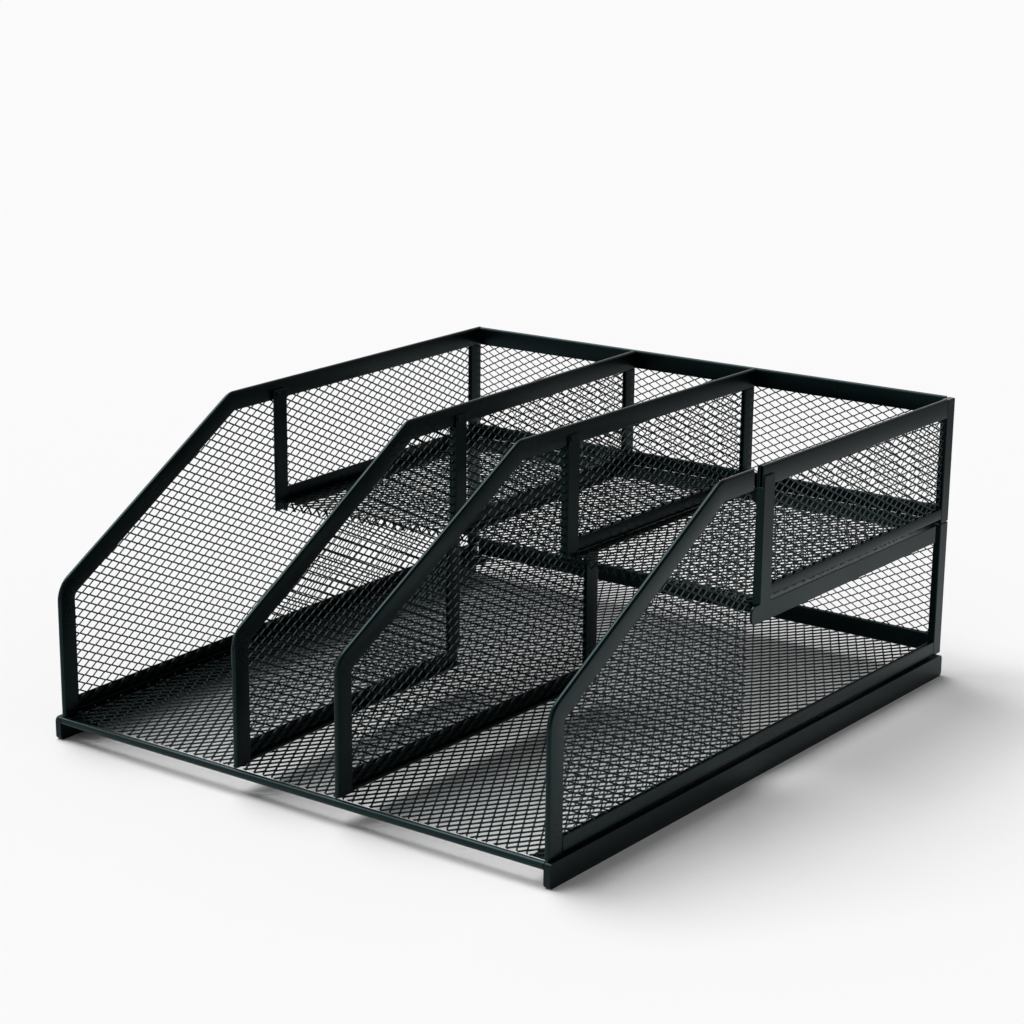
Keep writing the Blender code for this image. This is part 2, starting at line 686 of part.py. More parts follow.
def main():
    clear_scene()
    empty("tray", (-FRONT_WIDTH / 2, (FRONT_BAR_RADIUS - DEPTH) / 2, 0))
    floor()
    left_wall()
    divider(1, DIVIDER_1_FRONT, DIVIDER_1_REAR, DIVIDER_POST_DEPTH - LOWER_POST_1_LEAD)
    divider(2, DIVIDER_2_FRONT, DIVIDER_2_REAR, DIVIDER_POST_DEPTH + LOWER_POST_2_LAG)
    right_wall()
    back_wall()
    shelf()


main()
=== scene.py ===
# %% [markdown]
# # A desk tray of expanded metal
#
# The real tray is made of thin steel sheet that was slit and stretched into a net,
# and of folded steel strips that grip the net's cut edges. Everything is sprayed
# with a satin black powder and baked. The CAD frame gives each piece its place. This
# script replaces its coarse nets by nets with the real pitch, and its sharp strips by
# folded ones with round edges, because those edges are what catches the light.

# %% Load the frame
import math
from collections import namedtuple

import bmesh
import bpy
import numpy as np
from mathutils import Matrix, Vector


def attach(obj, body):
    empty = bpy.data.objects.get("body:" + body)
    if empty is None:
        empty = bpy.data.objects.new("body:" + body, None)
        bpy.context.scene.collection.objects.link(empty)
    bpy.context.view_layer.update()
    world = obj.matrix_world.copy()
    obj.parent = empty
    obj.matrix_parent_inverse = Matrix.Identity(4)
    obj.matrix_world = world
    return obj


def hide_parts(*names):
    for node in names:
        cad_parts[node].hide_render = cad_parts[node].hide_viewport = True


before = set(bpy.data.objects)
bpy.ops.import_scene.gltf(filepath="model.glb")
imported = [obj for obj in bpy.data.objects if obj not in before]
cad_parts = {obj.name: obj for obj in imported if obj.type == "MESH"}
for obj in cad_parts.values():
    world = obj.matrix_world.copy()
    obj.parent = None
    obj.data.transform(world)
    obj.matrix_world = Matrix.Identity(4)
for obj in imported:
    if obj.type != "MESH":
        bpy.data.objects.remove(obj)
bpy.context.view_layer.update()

# %% [markdown]
# ## The tray's sizes
#
# All lengths are in metres. The walls are not parallel: the tray is a little wider at
# the back. So each wall gets its own frame of axes, with y along the wall, z up and x
# through its thickness, and everything on that wall is drawn in plain numbers there.
# The alternative, working out each corner in world axes, would hide the design.

# %% Driving sizes
FRONT_WIDTH = 0.330
REAR_WIDTH = 0.350
DEPTH = 0.399
HEIGHT = 0.172
WALL_KNEE_HEIGHT = 0.0885
WALL_KNEE_DEPTH = 0.1445
DIVIDER_KNEE_HEIGHT = 0.0865
DIVIDER_KNEE_DEPTH = 0.152
KNEE_RADIUS = 0.016
DIVIDER_1 = (0.1293, 0.1170)
DIVIDER_2 = (0.1983, 0.2054)
STRIP_WIDTH = 0.0115
STRIP_THICKNESS = 0.003
FOOT_STRIP_WIDTH = 0.009
FOOT_LIP = 0.0024
BOX_STRIP_WIDTH = 0.009
SIDE_STRIP_RAISE = 0.0023
FOLD = 0.0008
SHEET = 0.0008
CLEARANCE = 0.0003
RAIL_HEIGHT = 0.0132
FRONT_BAR_RADIUS = 0.0022
SHELF_HEIGHT = 0.0963
WALL_POST_DEPTH = 0.1845
DIVIDER_POST_DEPTH = 0.196
POST_WIDTH = 0.0105
REAR_POST_WIDTH = 0.009
REAR_POST_THICKNESS = 0.0046
SHELF_RAIL_THICKNESS = 0.0012
RIGHT_RIM_DEPTH = 0.1755
LOWER_POST_1_DEPTH = 0.191
LOWER_POST_2_DEPTH = 0.2175

SPLAY = (REAR_WIDTH - FRONT_WIDTH) / 2
FOOT = RAIL_HEIGHT + CLEARANCE
WALL_STRIP_TOP = FOOT + FOOT_STRIP_WIDTH
DIVIDER_STRIP_TOP = FOOT + STRIP_WIDTH
RIM_BOTTOM = HEIGHT - STRIP_WIDTH
SLOT = SHEET + 2 * CLEARANCE
SHELF_SUPPORT = SHELF_HEIGHT - CLEARANCE
BOX_STRIP_TOP = SHELF_HEIGHT + BOX_STRIP_WIDTH
SIDE_STRIP_FOOT = SHELF_HEIGHT + SIDE_STRIP_RAISE
LOWER_POST_TOP = SHELF_SUPPORT - SHELF_RAIL_THICKNESS - CLEARANCE
print("the box starts", round(SHELF_HEIGHT * 1000, 1), "mm above the desk")

# %% Frames of the walls
TRAY = Matrix.Translation((-FRONT_WIDTH / 2, (FRONT_BAR_RADIUS - DEPTH) / 2, 0))


def wall_frame(front_x, rear_x):
    """The axes of a wall that runs from front_x at the front to rear_x at the back."""
    turn = math.atan2(front_x - rear_x, DEPTH)
    return TRAY @ Matrix.Translation((front_x, 0, 0)) @ Matrix.Rotation(turn, 4, "Z")


def wall_length(front_x, rear_x):
    return math.hypot(DEPTH, rear_x - front_x)


LEFT = wall_frame(0, -SPLAY)
RIGHT = wall_frame(FRONT_WIDTH, FRONT_WIDTH + SPLAY)
BACK = TRAY @ Matrix.Translation((-SPLAY, DEPTH, 0)) @ Matrix.Rotation(-math.pi / 2, 4, "Z")
SIDE_LENGTH = wall_length(0, -SPLAY)
print("the side walls are", round(SIDE_LENGTH * 1000, 1), "mm long")

# %% [markdown]
# ## Shader maths as plain expressions
#
# A node tree is easier to read as a formula. `Wire` wraps one output socket, and its
# operators add Math nodes. `Graph.node` makes any other node from its type, its
# settings and the values or wires of its inputs.


# %% A small language for shaders
class Wire:
    """One number or colour on its way through a shader."""

    def __init__(self, graph, socket):
        self.graph = graph
        self.socket = socket

    def _math(self, operation, first, second):
        return self.graph.node("ShaderNodeMath", {"operation": operation}, {0: first, 1: second})

    def __add__(self, other):
        return self._math("ADD", self, other)

    def __sub__(self, other):
        return self._math("SUBTRACT", self, other)

    def __rsub__(self, other):
        return self._math("SUBTRACT", other, self)

    def __mul__(self, other):
        return self._math("MULTIPLY", self, other)

    def __truediv__(self, other):
        return self._math("DIVIDE", self, other)

    __radd__ = __add__
    __rmul__ = __mul__


class Graph:
    """The node tree of a material or of the world."""

    def __init__(self, tree):
        self.tree = tree
        self.tree.nodes.clear()

    def node(self, kind, settings=None, inputs=None, output=0):
        made = self.tree.nodes.new(kind)
        for name, value in (settings or {}).items():
            setattr(made, name, value)
        for name, value in (inputs or {}).items():
            if isinstance(value, Wire):
                self.tree.links.new(value.socket, made.inputs[name])
            else:
                made.inputs[name].default_value = value
        return Wire(self, made.outputs[output]) if made.outputs else None


def share_of(wire):
    """The value, held between 0 and 1."""
    held = {"operation": "ADD", "use_clamp": True}
    return wire.graph.node("ShaderNodeMath", held, {0: wire, 1: 0.0})


def new_material(name):
    material = bpy.data.materials.new(name)
    material.use_nodes = True
    return material, Graph(material.node_tree)


print("shader helpers ready")

# %% [markdown]
# ## Satin powder coat
#
# Powder paint melts into a skin with a faint orange-peel relief and tiny pits. It
# could be an image, but noise in the object's own coordinates has no seams and keeps
# its real scale of about a millimetre. A slow noise changes how rough and how dark the
# skin is, as handling and dust do.

# %% The paint
PEEL_SCALE = 900
PEEL_DETAIL = 3.0
PEEL_HEIGHT = 0.00003
PEEL_ROUGHNESS = 0.08
HANDLING_SCALE = 28
HANDLING_DETAIL = 5.0
HANDLING_ROUGHNESS = 0.16
NOISE_MIDDLE = 0.5
PAINT_COLOUR = (0.0005, 0.0014, 0.0015, 1)
DUSTY_COLOUR = (0.0012, 0.003, 0.0032, 1)
SHEEN_TINT = (0.5, 0.95, 1, 1)


def noise(graph, scale, detail):
    """Noise in the object's own coordinates."""
    place = graph.node("ShaderNodeTexCoord", output="Object")
    return graph.node(
        "ShaderNodeTexNoise", inputs={"Vector": place, "Scale": scale, "Detail": detail}
    )


def powder_coat(name, roughness, specular, peel):
    """Satin black paint. peel is the strength of its orange-peel relief."""
    material, graph = new_material(name)
    handling = noise(graph, HANDLING_SCALE, HANDLING_DETAIL)
    grain = noise(graph, PEEL_SCALE, PEEL_DETAIL)
    worn = (handling - NOISE_MIDDLE) * HANDLING_ROUGHNESS
    pitted = (grain - NOISE_MIDDLE) * PEEL_ROUGHNESS
    colour = graph.node(
        "ShaderNodeMix", {"data_type": "RGBA"},
        {"Factor": handling, 6: PAINT_COLOUR, 7: DUSTY_COLOUR}, output=2,
    )
    relief = graph.node(
        "ShaderNodeBump", inputs={"Height": grain, "Strength": peel, "Distance": PEEL_HEIGHT}
    )
    paint = graph.node(
        "ShaderNodeBsdfPrincipled",
        inputs={
            "Base Color": colour,
            "Roughness": roughness + worn + pitted,
            "Specular IOR Level": specular,
            "Specular Tint": SHEEN_TINT,
            "Normal": relief,
        },
    )
    graph.node("ShaderNodeOutputMaterial", inputs={"Surface": paint})
    return material


STRIP_PAINT = powder_coat("strip_powder_coat", roughness=0.30, specular=0.25, peel=0.5)
NET_PAINT = powder_coat("net_powder_coat", roughness=0.38, specular=0.2, peel=0.3)
RAIL_PAINT = powder_coat("rail_powder_coat", roughness=0.32, specular=0.2, peel=0.6)
print("paints:", STRIP_PAINT.name, NET_PAINT.name, RAIL_PAINT.name)

# %% [markdown]
# ## Folded strips
#
# Each strip is one sheet folded over the net's edge, so its section is a deep narrow
# channel with a round outer fold and two thin lips. It could be a bevelled box, but a
# drawn section that is swept along the strip's path gives the fold its true round
# edge, the lips their small radius, and mitred turns at the knees. The foot strips of
# the left wall and the dividers keep only a low lip on their right side, so that the
# net shows down to the tray's floor.

# %% Paths and sections
FOLD_RADIUS = 0.0014
LIP_RADIUS = 0.0006
KNEE_STEPS = 12
FOLD_STEPS = 7
LIP_STEPS = 3


def arc(centre, radius, start, end, steps):
    """Points on an arc, with its angles in degrees."""
    angles = [math.radians(start + (end - start) * step / steps) for step in range(steps + 1)]
    x, y = centre
    return [Vector((x + radius * math.cos(a), y + radius * math.sin(a))) for a in angles]


def rounded(points, radius):
    """The path with each inner corner turned into an arc."""
    result = [Vector(points[0])]
    for before, corner, after in zip(points, points[1:], points[2:]):
        here = Vector(corner)
        into = (Vector(before) - here).normalized()
        out = (Vector(after) - here).normalized()
        half = into.angle(out) / 2
        centre = here + (into + out).normalized() * radius / math.sin(half)
        spoke = here + into * radius / math.tan(half) - centre
        last = here + out * radius / math.tan(half) - centre
        turn = math.copysign(spoke.angle(last), spoke.cross(last))
        for step in range(KNEE_STEPS + 1):
            result.append(centre + Matrix.Rotation(turn * step / KNEE_STEPS, 2) @ spoke)
    result.append(Vector(points[-1]))
    return result


def offset(path, distance):
    """The path moved to its right-hand side, with mitred corners."""
    moved = []
    for index, point in enumerate(path):
        before = (point - path[index - 1]).normalized() if index else None
        after = (path[index + 1] - point).normalized() if index + 1 < len(path) else None
        before, after = before or after, after or before
        across = Vector((after.y, -after.x))
        normal = (Vector((before.y, -before.x)) + across).normalized()
        moved.append(point + normal * distance / normal.dot(across))
    return moved


def fold_section(width, right_width):
    """Side and depth of each point round the folded sheet, from one lip over the fold."""
    half = STRIP_THICKNESS / 2
    slot = SLOT / 2
    return (
        arc((-half + LIP_RADIUS, width - LIP_RADIUS), LIP_RADIUS, 180, 90, LIP_STEPS)
        + [Vector((-slot, width)), Vector((-slot, FOLD))]
        + [Vector((slot, FOLD)), Vector((slot, right_width))]
        + arc((half - LIP_RADIUS, right_width - LIP_RADIUS), LIP_RADIUS, 90, 0, LIP_STEPS)
        + arc((half - FOLD_RADIUS, FOLD_RADIUS), FOLD_RADIUS, 0, -90, FOLD_STEPS)
        + arc((-half + FOLD_RADIUS, FOLD_RADIUS), FOLD_RADIUS, -90, -180, FOLD_STEPS)
    )


def profile_path(knee_depth, knee_height, rear):
    """The outer edge of a wall, up its front, over the slope and along the rim."""
    corners = [(0, FOOT), (0, knee_height), (knee_depth, HEIGHT), (rear, HEIGHT)]
    return rounded(corners, KNEE_RADIUS)


print("the section of a strip has", len(fold_section(STRIP_WIDTH, STRIP_WIDTH)), "points")


# %% Making a piece that stands for a CAD node
SHARP_ANGLE = math.radians(30)


def piece(name, built, place, paint, node, smooth=True):
    """Turns a bmesh, drawn in a wall's frame, into a painted object that replaces a node."""
    bmesh.ops.recalc_face_normals(built, faces=built.faces)
    mesh = bpy.data.meshes.new(name)
    built.to_mesh(mesh)
    built.free()
    mesh.transform(place)
    if smooth:
        mesh.shade_smooth()
        mesh.set_sharp_from_angle(angle=SHARP_ANGLE)
    mesh.materials.append(paint)
    made = bpy.data.objects.new(name, mesh)
    bpy.context.scene.collection.objects.link(made)
    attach(made, "root")
    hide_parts(node)
    return made


def folded_strip(node, place, path, width, middle, right_width=None):
    """A folded strip along a path in a wall's y and z, with its slot to the path's right."""
    section = fold_section(width, right_width or width)
    built = bmesh.new()
    rows = [(middle + side, offset(path, depth)) for side, depth in section]
    rings = [
        [built.verts.new((x, row[i].x, row[i].y)) for x, row in rows] for i in range(len(path))
    ]
    for ring, following in zip(rings, rings[1:]):
        for i in range(len(section)):
            built.faces.new((ring[i - 1], ring[i], following[i], following[i - 1]))
    built.faces.new(rings[0])
    built.faces.new(rings[-1])
    return piece(f"{node}_folded", built, place, STRIP_PAINT, node)


def straight(*points):
    return [Vector(point) for point in points]


print("strip maker ready")

# %% Strips of the left wall
WALL_MIDDLE = STRIP_THICKNESS / 2
left_path = profile_path(WALL_KNEE_DEPTH, WALL_KNEE_HEIGHT, SIDE_LENGTH)
folded_strip("left_rim_strip", LEFT, left_path, STRIP_WIDTH, WALL_MIDDLE)
folded_strip(
    "left_bottom_strip", LEFT,
    straight((SIDE_LENGTH, FOOT), (STRIP_WIDTH + CLEARANCE, FOOT)), FOOT_STRIP_WIDTH, WALL_MIDDLE,
    FOOT_LIP,
)
folded_strip(
    "left_rear_post", LEFT,
    straight((SIDE_LENGTH, RIM_BOTTOM - CLEARANCE), (SIDE_LENGTH, WALL_STRIP_TOP + CLEARANCE)),
    STRIP_WIDTH, WALL_MIDDLE,
)
print("left wall: three strips")

# %% Strips of the right wall
BOX_START = WALL_POST_DEPTH + POST_WIDTH + CLEARANCE
REAR_POST_START = SIDE_LENGTH - REAR_POST_WIDTH
right_path = profile_path(WALL_KNEE_DEPTH, WALL_KNEE_HEIGHT, RIGHT_RIM_DEPTH)
folded_strip("right_rim_strip", RIGHT, right_path, STRIP_WIDTH, -WALL_MIDDLE)
folded_strip(
    "right_bottom_strip", RIGHT,
    straight((REAR_POST_START - CLEARANCE, FOOT), (STRIP_WIDTH + CLEARANCE, FOOT)),
    FOOT_STRIP_WIDTH, -WALL_MIDDLE,
)
folded_strip(
    "right_box_top_strip", RIGHT,
    straight((WALL_POST_DEPTH + CLEARANCE, HEIGHT), (REAR_POST_START - CLEARANCE, HEIGHT)),
    STRIP_WIDTH, -WALL_MIDDLE,
)
folded_strip(
    "right_box_bottom_strip", RIGHT,
    straight((REAR_POST_START - CLEARANCE, SIDE_STRIP_FOOT), (BOX_START, SIDE_STRIP_FOOT)),
    BOX_STRIP_TOP - SIDE_STRIP_FOOT, -WALL_MIDDLE,
)
print("right wall: four strips")

# %% Strips of the dividers
DIVIDER_BOX_START = DIVIDER_POST_DEPTH + POST_WIDTH + CLEARANCE


def divider_strips(number, line, lower_post):
    """The strips of one divider. line is where it stands at the front and at the back."""
    label = f"divider_{number}"
    place = wall_frame(*line)
    end = wall_length(*line) - STRIP_THICKNESS - 2 * CLEARANCE
    foot_end = lower_post + STRIP_WIDTH
    path = profile_path(DIVIDER_KNEE_DEPTH, DIVIDER_KNEE_HEIGHT, end)
    folded_strip(f"{label}_rim_strip", place, path, STRIP_WIDTH, 0)
    foot = straight((foot_end, FOOT), (STRIP_WIDTH + CLEARANCE, FOOT))
    folded_strip(f"{label}_bottom_strip", place, foot, STRIP_WIDTH, 0, FOOT_LIP)
    post = straight((foot_end, LOWER_POST_TOP), (foot_end, DIVIDER_STRIP_TOP + CLEARANCE))
    folded_strip(f"{label}_lower_post", place, post, STRIP_WIDTH, 0)
    low = straight((end, SHELF_HEIGHT), (DIVIDER_BOX_START, SHELF_HEIGHT))
    folded_strip(f"{label}_shelf_strip", place, low, BOX_STRIP_WIDTH, 0)
    rear = straight((end, RIM_BOTTOM - CLEARANCE), (end, BOX_STRIP_TOP + CLEARANCE))
    folded_strip(f"{label}_rear_post", place, rear, STRIP_WIDTH, 0)
    return place, end, foot_end


divider_1 = divider_strips(1, DIVIDER_1, LOWER_POST_1_DEPTH)
divider_2 = divider_strips(2, DIVIDER_2, LOWER_POST_2_DEPTH)
print("dividers: five strips each")

# %% Strips of the back wall
BACK_LEFT = STRIP_THICKNESS + 2 * CLEARANCE
BACK_RIGHT = REAR_WIDTH - REAR_POST_THICKNESS - 2 * CLEARANCE
BACK_STRIPS = {
    "back_top_strip": (BACK_LEFT, BACK_RIGHT, HEIGHT, STRIP_WIDTH),
    "back_box_bottom_strip": (BACK_RIGHT, BACK_LEFT, SHELF_HEIGHT, BOX_STRIP_WIDTH),
    "back_lower_top_strip": (BACK_LEFT, BACK_RIGHT, SHELF_SUPPORT, BOX_STRIP_WIDTH),
    "back_bottom_strip": (BACK_RIGHT, BACK_LEFT, FOOT, STRIP_WIDTH),
}
for node, (start, end, z, width) in BACK_STRIPS.items():
    folded_strip(node, BACK, straight((start, z), (end, z)), width, WALL_MIDDLE)
print("back wall:", len(BACK_STRIPS), "strips")

# %% [markdown]
# ## Expanded-metal nets
#
# The sheet is slit in rows, like bricks, and pulled until each slit opens into a
# diamond. Where the rows stay joined there is a short bond, twice as tall as a strand,
# and each strand leans like the slat of a blind, because the pull twists it. A
# texture with holes would look flat from near by. Here every strand is geometry: each
# hole has six corners, shared by the strands and bonds round it, and its upper
# corners lie a little behind its lower ones. The nets that lie flat lean the other
# way, so they show their broad side to the front. A sheet is never cut quite square to
# its slits, which is what the turn and the slant of a sheet stand for. At the front of
# each shelf the net is turned down into a short flap.

# %% The net's pitch
Sheet = namedtuple("Sheet", "long_way short_way strand depth lean turn slant")
SIDE_SHEET = Sheet(
    long_way=0.0106, short_way=0.00505, strand=0.00085, depth=0.0004,
    lean=0.0003, turn=0, slant=math.radians(3),
)
LEFT_SHEET = SIDE_SHEET._replace(slant=math.radians(6))
BACK_SHEET = Sheet(
    long_way=0.0098, short_way=0.0048, strand=0.0007, depth=0.0003,
    lean=0.0003, turn=0, slant=0,
)
FLOOR_SHEET = Sheet(
    long_way=0.0094, short_way=0.0065, strand=0.00085, depth=0.00045,
    lean=-0.0003, turn=math.radians(4.2), slant=math.radians(2.4),
)
BOND_SHARE = 0.05
HOLE_LEANS = (0, -1, -1, 0, 1, 1)


def hole_corners(sheet):
    """The six corners of a hole about its centre, from its left corner clockwise."""
    bond = BOND_SHARE * sheet.long_way
    slope = math.atan2(sheet.short_way / 2, sheet.long_way / 2 - bond)
    side = sheet.long_way / 2 - bond / 2 - sheet.strand / 2 / math.sin(slope)
    flat = bond / 2
    rise = sheet.short_way / 2 - sheet.strand / 2 / math.cos(slope)
    return ((-side, 0), (-flat, rise), (flat, rise), (side, 0), (flat, -rise), (-flat, -rise))


def net_lattice(low, high, sheet):
    """Points and faces of a net over a rectangle, in along, up and through coordinates."""
    long_way, short_way = sheet.long_way, sheet.short_way
    columns = np.arange(math.floor(low[0] / long_way) - 1, math.ceil(high[0] / long_way) + 2)
    first_row, last_row = math.floor(2 * low[1] / short_way), math.ceil(2 * high[1] / short_way)
    rows = np.arange(first_row - 2, last_row + 3)
    wide, tall = len(columns), len(rows)
    odd = (rows % 2)[:, None]
    centre_s = (columns[None, :] + odd / 2) * long_way
    centre_t = np.repeat(rows[:, None] * short_way / 2, wide, axis=1)
    corners = np.array(hole_corners(sheet))
    lean = sheet.lean * np.array(HOLE_LEANS)
    points = np.empty((tall, wide, 2, 6, 3))
    points[..., 0] = centre_s[:, :, None, None] + corners[:, 0]
    points[..., 1] = centre_t[:, :, None, None] + corners[:, 1]
    points[..., 2] = np.array([sheet.depth / 2, -sheet.depth / 2])[:, None] + lean
    j, i = np.meshgrid(np.arange(tall - 2), np.arange(1, wide - 1), indexing="ij")
    parity = (rows[j] % 2).astype(int)

    def corner(column, row, number, layer):
        return ((row * wide + column) * 2 + layer) * 6 + number

    def quad(*ends):
        """The quad on the front layer, and the same one turned over on the back."""
        front = np.stack([corner(c, r, n, 0) for c, r, n in ends], axis=-1).reshape(-1, 4)
        back = np.stack([corner(c, r, n, 1) for c, r, n in reversed(ends)], axis=-1).reshape(-1, 4)
        return [front, back]

    left, right, below, above = (i + parity - 1, j + 1), (i + parity, j + 1), (i, j), (i, j + 2)
    faces = quad((*left, 3), (*above, 5), (*above, 4), (*right, 0))
    faces += quad((*left, 3), (*right, 0), (*below, 2), (*below, 1))
    faces += quad((*above, 4), (*above, 3), (*right, 1), (*right, 0))
    faces += quad((*above, 5), (*left, 3), (*left, 2), (*above, 0))
    for number in range(6):
        after = (number + 1) % 6
        ends = ((number, 0), (after, 0), (after, 1), (number, 1))
        walls = np.stack([corner(i, j + 1, n, layer) for n, layer in ends], axis=-1)
        faces.append(walls.reshape(-1, 4))
    return points.reshape(-1, 3), np.concatenate(faces)


MILLIMETRES = 1000
print("the corners of a side net's hole, in mm:")
for corner_place in hole_corners(SIDE_SHEET):
    print(*(round(length * MILLIMETRES, 2) for length in corner_place))


# %% Cutting a net to its place
MOST_CUT_SIDES = 8


def net_patch(region, sheet):
    """A net cut to a convex region, whose corners run anticlockwise."""
    skew = np.array([[1, -math.tan(sheet.slant)], [0, 1]])
    spin = np.array(Matrix.Rotation(sheet.turn, 2)) @ skew
    unturned = np.array(region) @ np.linalg.inv(spin).T
    points, faces = net_lattice(unturned.min(axis=0), unturned.max(axis=0), sheet)
    points[:, :2] = points[:, :2] @ spin.T
    used, faces = np.unique(faces, return_inverse=True)
    mesh = bpy.data.meshes.new("patch")
    mesh.from_pydata(points[used].tolist(), [], faces.reshape(-1, 4).tolist())
    built = bmesh.new()
    built.from_mesh(mesh)
    bpy.data.meshes.remove(mesh)
    for start, end in zip(region, region[1:] + region[:1]):
        edge = Vector((end[0] - start[0], end[1] - start[1]))
        cut = bmesh.ops.bisect_plane(
            built, geom=built.verts[:] + built.edges[:] + built.faces[:],
            plane_co=(start[0], start[1], 0), plane_no=(edge.y, -edge.x, 0), clear_outer=True,
        )
        rim = [item for item in cut["geom_cut"] if isinstance(item, bmesh.types.BMEdge)]
        bmesh.ops.holes_fill(built, edges=rim, sides=MOST_CUT_SIDES)
    return built


UPRIGHT = Matrix(((0, 0, 1, 0), (1, 0, 0, 0), (0, 1, 0, 0), (0, 0, 0, 1)))
LYING = Matrix(((0, 1, 0, 0), (1, 0, 0, 0), (0, 0, 1, 0), (0, 0, 0, 1)))
HANGING = Matrix(((0, 0, 1, 0), (0, 1, 0, 0), (1, 0, 0, 0), (0, 0, 0, 1)))


def net(node, place, regions, middle, sheet=SIDE_SHEET, lie=UPRIGHT):
    """The fine net of one CAD net, from the convex regions that make it up."""
    joined = bmesh.new()
    for region in regions:
        patch = net_patch(region, sheet)
        mesh = bpy.data.meshes.new("patch")
        patch.to_mesh(mesh)
        patch.free()
        joined.from_mesh(mesh)
        bpy.data.meshes.remove(mesh)
    shift = Matrix.Translation((0, 0, middle) if lie is LYING else (middle, 0, 0))
    made = piece(f"{node}_fine", joined, place @ shift @ lie, NET_PAINT, node, smooth=False)
    print(made.name, len(made.data.polygons), "faces")
    return made


# %% Nets of the walls
TUCK = 0.004


def wall_region(knee_depth, knee_height, rear):
    """A wall's net, tucked into its strips, with its corners anticlockwise."""
    low = FOOT + FOLD + CLEARANCE
    slope = Vector((knee_depth, HEIGHT - knee_height))
    drop = TUCK * slope.length / slope.x
    front_top = knee_height + slope.y / slope.x * TUCK - drop
    top = HEIGHT - TUCK
    knee = (top - knee_height + drop) * slope.x / slope.y
    return [(TUCK, low), (rear, low), (rear, top), (knee, top), (TUCK, front_top)]


net(
    "left_wall_mesh", LEFT,
    [wall_region(WALL_KNEE_DEPTH, WALL_KNEE_HEIGHT, SIDE_LENGTH - TUCK)], WALL_MIDDLE, LEFT_SHEET,
)
net(
    "right_front_mesh", RIGHT,
    [wall_region(WALL_KNEE_DEPTH, WALL_KNEE_HEIGHT, RIGHT_RIM_DEPTH + CLEARANCE)], -WALL_MIDDLE,
)


def box_region(start, end, foot=SHELF_HEIGHT):
    """A net of the box, between the inner folds of the strips below and above it."""
    low, high = foot + FOLD + CLEARANCE, HEIGHT - FOLD - CLEARANCE
    return [(start, low), (end, low), (end, high), (start, high)]


side_box = box_region(BOX_START, REAR_POST_START - CLEARANCE, SIDE_STRIP_FOOT)
net("right_box_mesh", RIGHT, [side_box], -WALL_MIDDLE)


def divider_nets(number, divider):
    """The nets of one divider. The front one reaches under the box to the lower post."""
    place, end, foot_end = divider
    upper_rear = DIVIDER_POST_DEPTH - CLEARANCE
    front = wall_region(DIVIDER_KNEE_DEPTH, DIVIDER_KNEE_HEIGHT, upper_rear)
    lower_rear = foot_end - FOLD - CLEARANCE
    low, top = front[0][1], LOWER_POST_TOP
    under = [(upper_rear, low), (lower_rear, low), (lower_rear, top), (upper_rear, top)]
    net(f"divider_{number}_front_mesh", place, [front, under], 0)
    box = box_region(DIVIDER_BOX_START, end - FOLD - CLEARANCE)
    net(f"divider_{number}_box_mesh", place, [box], 0)


divider_nets(1, divider_1)
divider_nets(2, divider_2)

# %% Nets of the back wall
for node, foot, top in (
    ("back_upper_mesh", SHELF_HEIGHT, HEIGHT),
    ("back_lower_mesh", FOOT, SHELF_SUPPORT),
):
    inset = FOLD + CLEARANCE
    region = [
        (BACK_LEFT, foot + inset), (BACK_RIGHT, foot + inset),
        (BACK_RIGHT, top - inset), (BACK_LEFT, top - inset),
    ]
    net(node, BACK, [region], WALL_MIDDLE, BACK_SHEET)

# %% Nets that lie flat
RAIL_INSIDE = 0.0016


def along(line, y):
    return line[0] + (line[1] - line[0]) * y / DEPTH


def flat_net(node, outline, top):
    """A lying net, whose outline runs anticlockwise in the tray's x and y."""
    region = [(y, x) for x, y in reversed(outline)]
    net(node, TRAY, [region], top - SHEET / 2, FLOOR_SHEET, LYING)


floor_front = FRONT_BAR_RADIUS + CLEARANCE
flat_net(
    "floor_mesh",
    [
        (along((0, -SPLAY), floor_front) + RAIL_INSIDE, floor_front),
        (along((FRONT_WIDTH, FRONT_WIDTH + SPLAY), floor_front) - RAIL_INSIDE, floor_front),
        (FRONT_WIDTH + SPLAY - RAIL_INSIDE, DEPTH), (RAIL_INSIDE - SPLAY, DEPTH),
    ],
    RAIL_HEIGHT,
)

